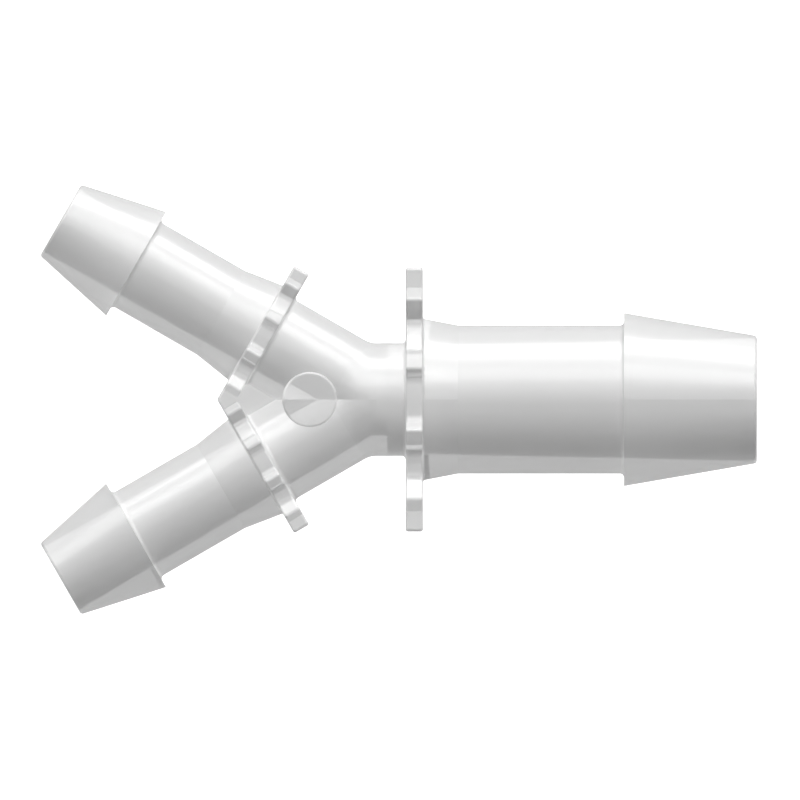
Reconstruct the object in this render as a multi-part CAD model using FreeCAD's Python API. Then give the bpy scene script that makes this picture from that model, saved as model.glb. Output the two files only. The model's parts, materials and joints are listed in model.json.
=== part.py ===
import FreeCAD, Part
import os
from math import asin, cos, degrees, hypot, radians, sin, tan

# Y hose barb reducer, moulded in one piece. One large barbed leg splits into two small
# barbed legs. Lengths are in millimetres and angles in degrees.
#
# The body is drawn in its own frame first: the three bores meet at the origin, +X runs along
# the large leg, the two small legs leave to the left on either side of -X, and the round pad
# faces +Z. The finished body is then laid down as it comes to rest on a table.

# How the three legs meet
BRANCH_ANGLE = 30.0          # each small leg leaves the large leg's line by this
NECK_D = 14.1                # between the small legs and the large flange
CROTCH_BLEND = 3.0           # rounding of the outline where neck and small leg meet
WEB_THICKNESS = 1.6          # flat web that ties the small legs together

# Large leg, for 19 mm (3/4 in) hose; distances run along the leg from where the bores meet
LARGE_FLANGE_START = 4.3
LARGE_FLANGE_D = 33.0
LARGE_FLARE_D = 20.2         # thickest point of the tube, against the flange
LARGE_FLARE_LENGTH = 4.4
LARGE_TUBE_D = 18.5
LARGE_HOSE_LENGTH = 41.75    # from the flange's outer face to the tip
LARGE_BARB_D = 21.6
LARGE_BARB_LENGTH = 16.6     # from the barb's sharp edge to the tip
LARGE_TIP_D = 15.9
LARGE_TIP_BORE_D = 12.9
LARGE_BORE_DRAFT = 1.0       # the moulding core gets thinner inwards by this, each side
LARGE_BORE_START = 1.95      # the shoulder where the large bore ends

# Small legs, for 12.7 mm (1/2 in) hose
SMALL_FLANGE_START = 14.55
SMALL_FLANGE_D = 19.3
SMALL_FLARE_D = 13.6
SMALL_FLARE_LENGTH = 5.0
SMALL_TUBE_D = 12.05
SMALL_HOSE_LENGTH = 28.15
SMALL_BARB_D = 14.95
SMALL_BARB_LENGTH = 10.9
SMALL_TIP_D = 10.25
SMALL_TIP_BORE_D = 7.6
SMALL_BORE_DRAFT = 0.66

# Scalloped flanges
FLANGE_THICKNESS = 2.15
NOTCH_COUNT = 10
NOTCH_SHARE = 0.728          # part of the rim that the notches take
LARGE_NOTCH_DEPTH = 3.9
LARGE_NOTCH_ROUND = 1.0      # corners at the bottom of a scallop
SMALL_NOTCH_DEPTH = 2.25
SMALL_NOTCH_ROUND = 0.75
TOOTH_ROUND = 0.4            # upright corners of the teeth between the scallops
RIM_FILLET = 0.3             # edges of rim and scallops, on both faces

# Edges
NECK_FILLET = 0.5            # neck to flange
LARGE_FLARE_FILLET = 0.35    # flange to flare
SMALL_FLARE_FILLET = 0.15
HUB_MARGIN = 0.01            # flange left flat around the flare's fillet in the leg's own profile
BARB_FILLET = 0.55           # tube to the back of the barb
TIP_ROUND = 0.45
CORE_ROUND = 0.5             # corner at the inner end of the large bore

# Round pad over the crotch, left bare
PAD_D = 6.9
PAD_CENTRE = 7.7             # from where the bores meet, towards the small legs
PAD_RISE = 0.4               # above the top of the small legs
PAD_EDGE = 0.3

BLEND_SECTIONS = 8           # circles that carry the neck over into a small leg
CUT_MARGIN = 1.0             # how far a cutting shape runs past what it cuts
CLIP_SIZE = 200.0            # side of a box that stands for half of space
TINY = 1e-4                  # lengths and cosines closer than this count as equal
STEEPEST_REST = 45.0         # the tilt at rest is looked for between none and this
HALVINGS = 50                # steps of that search

ORIGIN = FreeCAD.Vector(0, 0, 0)
X_AXIS = FreeCAD.Vector(1, 0, 0)
Y_AXIS = FreeCAD.Vector(0, 1, 0)
Z_AXIS = FreeCAD.Vector(0, 0, 1)

# Sizes that follow from the ones above
LARGE_FLANGE_END = LARGE_FLANGE_START + FLANGE_THICKNESS
SMALL_FLANGE_END = SMALL_FLANGE_START + FLANGE_THICKNESS
LARGE_TIP = LARGE_FLANGE_END + LARGE_HOSE_LENGTH
SMALL_TIP = SMALL_FLANGE_END + SMALL_HOSE_LENGTH
SMALL_BARB_EDGE = SMALL_TIP - SMALL_BARB_LENGTH
SMALL_TUBE_R = SMALL_TUBE_D / 2
NECK_R = NECK_D / 2
SMALL_BORE_ROOT_R = SMALL_TIP_BORE_D / 2 - SMALL_TIP * tan(radians(SMALL_BORE_DRAFT))
NECK_BORE_R = SMALL_BORE_ROOT_R / cos(radians(BRANCH_ANGLE))
HALF_PITCH = 180.0 / NOTCH_COUNT
NOTCH_HALF_ANGLE = NOTCH_SHARE * HALF_PITCH

# The bend turns about this point, so that the outline there is one arc between neck and leg
BEND_Y = NECK_R + CROTCH_BLEND
BEND_X = (SMALL_TUBE_R + CROTCH_BLEND - BEND_Y * cos(radians(BRANCH_ANGLE))) / sin(radians(BRANCH_ANGLE))
LEG_START = BEND_Y * sin(radians(BRANCH_ANGLE)) - BEND_X * cos(radians(BRANCH_ANGLE))


def corner_arc(before, corner, after, radius):
    """The arc that rounds one corner of an outline, as its two ends and its middle."""
    towards_before = (before - corner).normalize()
    towards_after = (after - corner).normalize()
    half = towards_before.getAngle(towards_after) / 2
    reach = radius / tan(half)
    inwards = (towards_before + towards_after).normalize()
    middle = corner + inwards * (radius / sin(half) - radius)
    return corner + towards_before * reach, middle, corner + towards_after * reach


def runs_along_x(edge):
    """Whether an edge is a straight line along X."""
    return abs(edge.tangentAt(edge.FirstParameter).x) > 1 - TINY


def out_from_x(edge):
    """How far the middle of an edge is from the X axis."""
    return hypot(edge.CenterOfMass.y, edge.CenterOfMass.z)


def revolved(corners):
    """A solid of revolution about +X from (along, radius, rounding) corners."""
    points = [FreeCAD.Vector(along, radius, 0) for along, radius, rounding in corners]
    edges = []
    joints = []
    for i, (along, radius, rounding) in enumerate(corners):
        if rounding > 0:
            start, middle, end = corner_arc(points[i - 1], points[i], points[(i + 1) % len(points)], rounding)
            joints.append((start, end))
            edges.append(Part.Arc(start, middle, end).toShape())
        else:
            joints.append((points[i], points[i]))
    for i in range(len(points)):
        leaving = joints[i][1]
        arriving = joints[(i + 1) % len(points)][0]
        if leaving.distanceToPoint(arriving) > TINY:
            edges.append(Part.LineSegment(leaving, arriving).toShape())
    outline = Part.Wire(Part.__sortEdges__(edges))
    return Part.Face(outline).revolve(ORIGIN, X_AXIS, 360)


def scallop_cutter(rim_r, floor_r, start, corner_round):
    """What cuts one scallop: a flat floor with rounded corners, and walls along the teeth beside it."""
    rim_across = rim_r * sin(radians(NOTCH_HALF_ANGLE))
    rim_out = rim_r * cos(radians(NOTCH_HALF_ANGLE))
    top_r = rim_r + CUT_MARGIN
    floor_across = rim_across - (rim_out - floor_r) * tan(radians(HALF_PITCH))
    top_across = rim_across + (top_r - rim_out) * tan(radians(HALF_PITCH))
    back = start - CUT_MARGIN
    points = [
        FreeCAD.Vector(back, -floor_across, floor_r),
        FreeCAD.Vector(back, floor_across, floor_r),
        FreeCAD.Vector(back, top_across, top_r),
        FreeCAD.Vector(back, -top_across, top_r),
    ]
    outline = Part.makePolygon(points + points[:1])
    cutter = Part.Face(outline).extrude(X_AXIS * (FLANGE_THICKNESS + 2 * CUT_MARGIN))
    bottom_corners = [edge for edge in cutter.Edges if runs_along_x(edge) and edge.CenterOfMass.z < rim_out]
    return cutter.makeFillet(corner_round, bottom_corners)


def flange(flange_d, start, notch_depth, notch_round):
    """A flange with ten scallops and rounded edges, whose inner face is at start along +X."""
    rim_r = flange_d / 2
    cutters = []
    for i in range(NOTCH_COUNT):
        cutter = scallop_cutter(rim_r, rim_r - notch_depth, start, notch_round)
        cutter.rotate(ORIGIN, X_AXIS, i * 2 * HALF_PITCH)
        cutters.append(cutter)
    disc = Part.makeCylinder(rim_r, FLANGE_THICKNESS, FreeCAD.Vector(start, 0, 0), X_AXIS).cut(cutters)
    tooth_corners = [edge for edge in disc.Edges if runs_along_x(edge) and out_from_x(edge) > rim_r - TINY]
    disc = disc.makeFillet(TOOTH_ROUND, tooth_corners)
    rims = [edge for edge in disc.Edges if edge.BoundBox.XLength < TINY]
    return disc.makeFillet(RIM_FILLET, rims)


def large_leg():
    """Neck, flange, tube, barb and tip of the large leg, on +X."""
    hub_r = LARGE_FLARE_D / 2 + LARGE_FLARE_FILLET + HUB_MARGIN
    corners = [
        (BEND_X, 0, 0),
        (BEND_X, NECK_R, 0),
        (LARGE_FLANGE_START, NECK_R, NECK_FILLET),
        (LARGE_FLANGE_START, hub_r, 0),
        (LARGE_FLANGE_END, hub_r, 0),
        (LARGE_FLANGE_END, LARGE_FLARE_D / 2, LARGE_FLARE_FILLET),
        (LARGE_FLANGE_END + LARGE_FLARE_LENGTH, LARGE_TUBE_D / 2, 0),
        (LARGE_TIP - LARGE_BARB_LENGTH, LARGE_TUBE_D / 2, BARB_FILLET),
        (LARGE_TIP - LARGE_BARB_LENGTH, LARGE_BARB_D / 2, 0),
        (LARGE_TIP, LARGE_TIP_D / 2, TIP_ROUND),
        (LARGE_TIP, 0, 0),
    ]
    return revolved(corners).fuse(
        flange(LARGE_FLANGE_D, LARGE_FLANGE_START, LARGE_NOTCH_DEPTH, LARGE_NOTCH_ROUND))


def small_leg():
    """Flange, tube, barb and tip of a small leg, on +X."""
    hub_r = SMALL_FLARE_D / 2 + SMALL_FLARE_FILLET + HUB_MARGIN
    corners = [
        (LEG_START, 0, 0),
        (LEG_START, SMALL_TUBE_R, 0),
        (SMALL_FLANGE_START, SMALL_TUBE_R, NECK_FILLET),
        (SMALL_FLANGE_START, hub_r, 0),
        (SMALL_FLANGE_END, hub_r, 0),
        (SMALL_FLANGE_END, SMALL_FLARE_D / 2, SMALL_FLARE_FILLET),
        (SMALL_FLANGE_END + SMALL_FLARE_LENGTH, SMALL_TUBE_R, 0),
        (SMALL_BARB_EDGE, SMALL_TUBE_R, BARB_FILLET),
        (SMALL_BARB_EDGE, SMALL_BARB_D / 2, 0),
        (SMALL_TIP, SMALL_TIP_D / 2, TIP_ROUND),
        (SMALL_TIP, 0, 0),
    ]
    return revolved(corners).fuse(
        flange(SMALL_FLANGE_D, SMALL_FLANGE_START, SMALL_NOTCH_DEPTH, SMALL_NOTCH_ROUND))


def bend():
    """The bent, narrowing tube that carries the neck over into the small leg on +Y."""
    turning_point = FreeCAD.Vector(BEND_X, BEND_Y, 0)
    sections = []
    for i in range(BLEND_SECTIONS):
        share = i / (BLEND_SECTIONS - 1)
        ease = share * share * (3 - 2 * share)
        radius = NECK_R + (SMALL_TUBE_R - NECK_R) * ease
        # Every circle touches the arc of the outline, and starts on the side that is cut away
        centre = FreeCAD.Vector(BEND_X, NECK_R - radius, 0)
        section = Part.Wire(Part.Circle(centre, X_AXIS, radius).toShape())
        section.rotate(centre, X_AXIS, 90)
        section.rotate(turning_point, Z_AXIS, -BRANCH_ANGLE * share)
        sections.append(section)
    return Part.makeLoft(sections, True, False)


def web():
    """Flat web between the small legs, from the crotch to the flanges."""
    reach = SMALL_FLANGE_START + FLANGE_THICKNESS / 2
    side = FreeCAD.Vector(-reach * cos(radians(BRANCH_ANGLE)), reach * sin(radians(BRANCH_ANGLE)), 0)
    tip = FreeCAD.Vector(-reach / cos(radians(BRANCH_ANGLE)), 0, 0)
    outline = Part.makePolygon([ORIGIN, side, tip, ORIGIN])
    plate = Part.Face(outline).extrude(Z_AXIS * WEB_THICKNESS)
    plate.translate(Z_AXIS * (-WEB_THICKNESS / 2))
    return plate


def pad():
    """Round raised pad over the crotch, with a rounded upper edge."""
    height = SMALL_TUBE_R + PAD_RISE
    corners = [
        (0, 0, 0),
        (0, PAD_D / 2, 0),
        (height, PAD_D / 2, PAD_EDGE),
        (height, 0, 0),
    ]
    button = revolved(corners)
    button.rotate(ORIGIN, Y_AXIS, -90)
    button.translate(FreeCAD.Vector(-PAD_CENTRE, 0, 0))
    return button


def upper_half_space():
    """Box that keeps the +Y side of a shape."""
    corner = FreeCAD.Vector(-CLIP_SIZE / 2, 0, -CLIP_SIZE / 2)
    return Part.makeBox(CLIP_SIZE, CLIP_SIZE, CLIP_SIZE, corner)


def outer_body():
    """The whole outside with no bores: one half is built, and the other is its mirror."""
    branch = small_leg()
    branch.rotate(ORIGIN, Z_AXIS, 180 - BRANCH_ANGLE)
    half = large_leg().fuse([bend(), branch, web(), pad()]).common(upper_half_space())
    return half.fuse(half.mirror(ORIGIN, Y_AXIS)).removeSplitter()


def large_core():
    """The core that moulds the large bore, with its rounded inner end, and the neck's bore."""
    end = LARGE_TIP + CUT_MARGIN
    slope = tan(radians(LARGE_BORE_DRAFT))
    inner_r = LARGE_TIP_BORE_D / 2 - (LARGE_TIP - LARGE_BORE_START) * slope
    corners = [
        (0, 0, 0),
        (0, NECK_BORE_R, 0),
        (LARGE_BORE_START, NECK_BORE_R, 0),
        (LARGE_BORE_START, inner_r, CORE_ROUND),
        (end, LARGE_TIP_BORE_D / 2 + CUT_MARGIN * slope, 0),
        (end, 0, 0),
    ]
    return revolved(corners)


def small_core():
    """The drafted core of the small leg on +Y, cut off at the mitre with the neck's bore."""
    slope = tan(radians(SMALL_BORE_DRAFT))
    back = NECK_R
    start_r = SMALL_BORE_ROOT_R - back * slope
    end = SMALL_TIP + CUT_MARGIN
    end_r = SMALL_TIP_BORE_D / 2 + CUT_MARGIN * slope
    core = Part.makeCone(start_r, end_r, back + end, FreeCAD.Vector(-back, 0, 0), X_AXIS)
    core.rotate(ORIGIN, Z_AXIS, 180 - BRANCH_ANGLE)
    mitre = Part.makeBox(CLIP_SIZE, CLIP_SIZE, CLIP_SIZE, FreeCAD.Vector(0, -CLIP_SIZE / 2, -CLIP_SIZE / 2))
    return core.cut(mitre)


def fitting():
    """The moulding in its own frame."""
    core = small_core()
    bores = large_core().fuse([core, core.mirror(ORIGIN, Y_AXIS)])
    return outer_body().cut(bores).removeSplitter()


def flange_reach(tilt):
    """How far the large flange's two lowest teeth reach below the origin at this tilt."""
    rim_r = LARGE_FLANGE_D / 2
    tooth_half = rim_r * sin(radians(HALF_PITCH - NOTCH_HALF_ANGLE))
    # The middle of a tooth's rounded corner, from the axis and from the tooth's own middle line
    corner_r = rim_r - TOOTH_ROUND
    corner_angle = asin((tooth_half - TOOTH_ROUND) / corner_r)
    lowest = corner_r * cos(radians(HALF_PITCH) - corner_angle) + TOOTH_ROUND
    along = LARGE_FLANGE_START + RIM_FILLET
    return (lowest - RIM_FILLET) * cos(tilt) - along * sin(tilt) + RIM_FILLET


def barb_reach(tilt):
    """How far the small barbs' sharp edges reach below the origin at this tilt."""
    along = sin(tilt) * cos(radians(BRANCH_ANGLE))
    return SMALL_BARB_EDGE * along + SMALL_BARB_D / 2 * (1 - along ** 2) ** 0.5


def rest_tilt():
    """The tilt at which flange and small barbs touch one plane, found by halving."""
    low = 0.0
    high = radians(STEEPEST_REST)
    for halving in range(HALVINGS):
        middle = (low + high) / 2
        if flange_reach(middle) > barb_reach(middle):
            low = middle
        else:
            high = middle
    return degrees(low)


def laid_down(shape):
    """Tilts the body on to its large flange and small barbs, centred over the origin."""
    shape.rotate(ORIGIN, Y_AXIS, -rest_tilt())
    box = shape.optimalBoundingBox(False, False)
    shape.translate(FreeCAD.Vector(-box.Center.x, -box.Center.y, -box.ZMin))
    return shape


os.makedirs("parts", exist_ok=True)
body = laid_down(fitting())
body.exportStep("parts/y_fitting.step")
print("y_fitting", body.isValid(), len(body.Solids), "solid", round(body.Volume, 1), "mm3")
print("rest tilt", round(rest_tilt(), 3), "box", body.optimalBoundingBox(False, False))
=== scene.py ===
# %% [markdown]
# # A translucent Y hose barb
#
# The part is one moulding of natural, uncoloured plastic: a large barbed leg that splits into two small
# ones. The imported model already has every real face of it, so this lesson is about looks. It sets up the
# view, a pale studio and, above all, a plastic that is half milk and half window, through which the bores
# show.

# %% Load the frame
import json
from math import cos, pi, radians, sin

import bpy
from mathutils import Matrix, Vector

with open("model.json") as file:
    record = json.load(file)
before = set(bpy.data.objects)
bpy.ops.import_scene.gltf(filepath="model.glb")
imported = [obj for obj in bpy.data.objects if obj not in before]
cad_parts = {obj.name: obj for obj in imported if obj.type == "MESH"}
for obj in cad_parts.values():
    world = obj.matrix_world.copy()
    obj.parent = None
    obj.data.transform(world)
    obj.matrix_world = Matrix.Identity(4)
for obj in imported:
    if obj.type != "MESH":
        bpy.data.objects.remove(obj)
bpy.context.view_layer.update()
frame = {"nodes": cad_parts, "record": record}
scene = bpy.context.scene
fitting = frame["nodes"]["y_fitting"]
MM = 0.001

# %% [markdown]
# The record's mounts say where the legs point. The large barb's mount lies in the middle of its mouth, and
# its axis runs along the leg. From it come the three directions that all else here uses: along the large
# leg, across the legs, and out of the plane in which the three legs lie.

# %% The part's own directions
mounts = {mount["name"]: mount for mount in frame["record"]["mounts"]}
large_mouth = Vector(mounts["large_barb"]["pos_m"])
along = Vector(mounts["large_barb"]["axis"]).normalized()
across = Vector((0, 1, 0))
outwards = along.cross(across)
print("large leg points along", tuple(round(v, 4) for v in along))

# %% [markdown]
# The view is square on to the plane of the legs. A camera far away with a long lens would come near to it,
# and an orthographic one has no perspective at all, so it is the plainer choice. Its picture is 100 mm
# wide, and its middle lies a hair below the large leg's line.

# %% Camera
VIEW_WIDTH = 100 * MM
MOUTH_TO_VIEW_MIDDLE = 44.61 * MM
VIEW_DROP = 0.056 * MM
CAMERA_DISTANCE = 1.0

view_middle = large_mouth - along * MOUTH_TO_VIEW_MIDDLE - across * VIEW_DROP
camera_data = bpy.data.cameras.new("camera")
camera_data.type = "ORTHO"
camera_data.ortho_scale = VIEW_WIDTH
camera = bpy.data.objects.new("camera", camera_data)
facing = Matrix((along, across, outwards)).transposed()
camera.matrix_world = Matrix.Translation(view_middle + outwards * CAMERA_DISTANCE) @ facing.to_4x4()
scene.collection.objects.link(camera)
scene.camera = camera
print("camera at", tuple(round(v, 3) for v in camera.location))

# %% [markdown]
# The part lies on a sheet of white paper, which is a flat square far larger than the picture.

# %% Floor
import bmesh

FLOOR_SIZE = 4.0

floor_mesh = bpy.data.meshes.new("floor")
sheet = bmesh.new()
bmesh.ops.create_grid(sheet, x_segments=1, y_segments=1, size=FLOOR_SIZE / 2)
sheet.to_mesh(floor_mesh)
sheet.free()
floor = bpy.data.objects.new("floor", floor_mesh)
scene.collection.objects.link(floor)
print("floor", FLOOR_SIZE, "m wide")

# %% [markdown]
# Paper that is lit until it looks white would also throw a lot of light back, and the part's round sides
# would look flat. So the paper itself is a middle grey, and it glows for the camera alone.

# %% White paper
PAPER_SHADE = 0.5
PAPER_ROUGHNESS = 0.9
PAPER_GLOW = 0.8

paper = bpy.data.materials.new("white_paper")
paper.use_nodes = True
paper_tree = paper.node_tree
paper_shader = paper_tree.nodes["Principled BSDF"]
paper_shader.inputs["Base Color"].default_value = (PAPER_SHADE, PAPER_SHADE, PAPER_SHADE, 1)
paper_shader.inputs["Roughness"].default_value = PAPER_ROUGHNESS
paper_shader.inputs["Specular IOR Level"].default_value = 0
paper_shader.inputs["Emission Color"].default_value = (1, 1, 1, 1)
seen_by = paper_tree.nodes.new("ShaderNodeLightPath")
glow = paper_tree.nodes.new("ShaderNodeMath")
glow.operation = "MULTIPLY"
glow.inputs[1].default_value = PAPER_GLOW
paper_tree.links.new(seen_by.outputs["Is Camera Ray"], glow.inputs[0])
paper_tree.links.new(glow.outputs["Value"], paper_shader.inputs["Emission Strength"])
floor_mesh.materials.append(paper)
print("paper glows at", PAPER_GLOW)

# %% [markdown]
# Smooth plastic shows its form by what it mirrors, and small lamps would only make dots on it. Long soft
# panels give the broad streaks of a studio picture. Each one faces the middle of the picture from the same
# distance.

# %% A soft panel
LIGHT_DISTANCE = 1.0


def soft_light(name, tilt, brightness, swing=0, width=1.2, height=0.35):
    """A panel tilted from the viewer to the far side, then swung to the large leg, both in degrees."""
    rise = radians(tilt)
    turn = radians(swing)
    out = (outwards * cos(rise) + across * sin(rise)) * cos(turn) + along * sin(turn)
    up = across * cos(rise) - outwards * sin(rise)
    side = up.cross(out)
    data = bpy.data.lights.new(name, "AREA")
    data.shape = "RECTANGLE"
    data.size = width
    data.size_y = height
    data.energy = brightness * pi * width * height
    lamp = bpy.data.objects.new(name, data)
    pose = Matrix((side, up, out)).transposed().to_4x4()
    lamp.matrix_world = Matrix.Translation(view_middle + out * LIGHT_DISTANCE) @ pose
    scene.collection.objects.link(lamp)


print("panels stand", LIGHT_DISTANCE, "m off")

# %% [markdown]
# Five panels stand in an arc from the near side to the far side, brighter towards the far side, so that
# every round shoulder is bright above and falls off below. The rim panel is a little behind the plane of the
# legs and lights the walls from inside. Two more stand to the left and right, and give the tapered barbs
# their streak. The first number is the tilt, and the second is the brightness.

# %% Lights
scene.view_settings.view_transform = "Standard"

soft_light("low_panel", -25, 0.53, height=0.45)
soft_light("front_panel", 20, 0.36)
soft_light("main_panel", 40, 2.7)
soft_light("top_panel", 80, 7.75)
soft_light("rim_panel", 100, 7.2)
soft_light("left_panel", 40, 2.9, swing=-45, width=0.9, height=0.5)
soft_light("right_panel", 40, 3.5, swing=45, width=0.9, height=0.5)

# %% [markdown]
# Behind it all is a pale room. It lights the part only faintly, and the camera itself sees it as white, so
# that a low view has no grey edge where the floor ends.

# %% Room
ROOM_GLOW = 0.2

room = bpy.data.worlds.new("room")
scene.world = room
room.use_nodes = True
room_tree = room.node_tree
room_light = room_tree.nodes["Background"]
room_light.inputs["Color"].default_value = (1, 1, 1, 1)
looked_at = room_tree.nodes.new("ShaderNodeLightPath")
room_glow = room_tree.nodes.new("ShaderNodeMapRange")
room_glow.inputs["To Min"].default_value = ROOM_GLOW
room_glow.inputs["To Max"].default_value = 1
room_tree.links.new(looked_at.outputs["Is Camera Ray"], room_glow.inputs["Value"])
room_tree.links.new(room_glow.outputs["Result"], room_light.inputs["Strength"])
print("room glows at", ROOM_GLOW)

# %% [markdown]
# Natural plastic is neither glass nor paint. Part of the light turns back at its skin, and part goes in,
# bends and shows the bore behind. A cloudy volume inside clear glass would be truer, but it is slow and
# speckled, so one shader mixes clear with milky instead. A face that is met from inside the plastic gets a
# darker colour, which is painted shade that keeps the bores and far walls dim; it has no shine and lets
# nothing through, so a bore reads as a grey tube. A soft coat stands for the moulded skin. The panels'
# light isn't held back by the walls, so they stay bright and the paper has no shadow.

# %% Plastic
CLEARNESS = 0.6
SKIN_SHADE = 0.86
INNER_PAINTED_SHADE = 0.5
CLEAR_ROUGHNESS = 0.03
BENDING = 1.2
COAT_ROUGHNESS = 0.3


def outside_to_inside(tree, side, outside, inside):
    """One number on a face met from outside, and another on a face met from inside the plastic."""
    switch = tree.nodes.new("ShaderNodeMapRange")
    switch.inputs["To Min"].default_value = outside
    switch.inputs["To Max"].default_value = inside
    tree.links.new(side, switch.inputs["Value"])
    return switch.outputs["Result"]


def natural_plastic():
    """Milky, see-through plastic that holds back none of the panels' light."""
    material = bpy.data.materials.new("natural_plastic")
    material.use_nodes = True
    tree = material.node_tree
    shader = tree.nodes["Principled BSDF"]
    shader.inputs["Roughness"].default_value = CLEAR_ROUGHNESS
    shader.inputs["IOR"].default_value = BENDING
    shader.inputs["Coat Roughness"].default_value = COAT_ROUGHNESS
    side = tree.nodes.new("ShaderNodeNewGeometry").outputs["Backfacing"]
    # Faces met from inside get a darker base colour, which is painted shade.
    tree.links.new(outside_to_inside(tree, side, SKIN_SHADE, INNER_PAINTED_SHADE), shader.inputs["Base Color"])
    tree.links.new(outside_to_inside(tree, side, CLEARNESS, 0), shader.inputs["Transmission Weight"])
    tree.links.new(outside_to_inside(tree, side, 1, 0), shader.inputs["Coat Weight"])
    through = tree.nodes.new("ShaderNodeBsdfTransparent")
    path = tree.nodes.new("ShaderNodeLightPath")
    mix = tree.nodes.new("ShaderNodeMixShader")
    tree.links.new(path.outputs["Is Shadow Ray"], mix.inputs["Fac"])
    tree.links.new(shader.outputs["BSDF"], mix.inputs[1])
    tree.links.new(through.outputs["BSDF"], mix.inputs[2])
    tree.links.new(mix.outputs["Shader"], tree.nodes["Material Output"].inputs["Surface"])
    return material


fitting.data.materials.clear()
fitting.data.materials.append(natural_plastic())
print("plastic on", fitting.name)
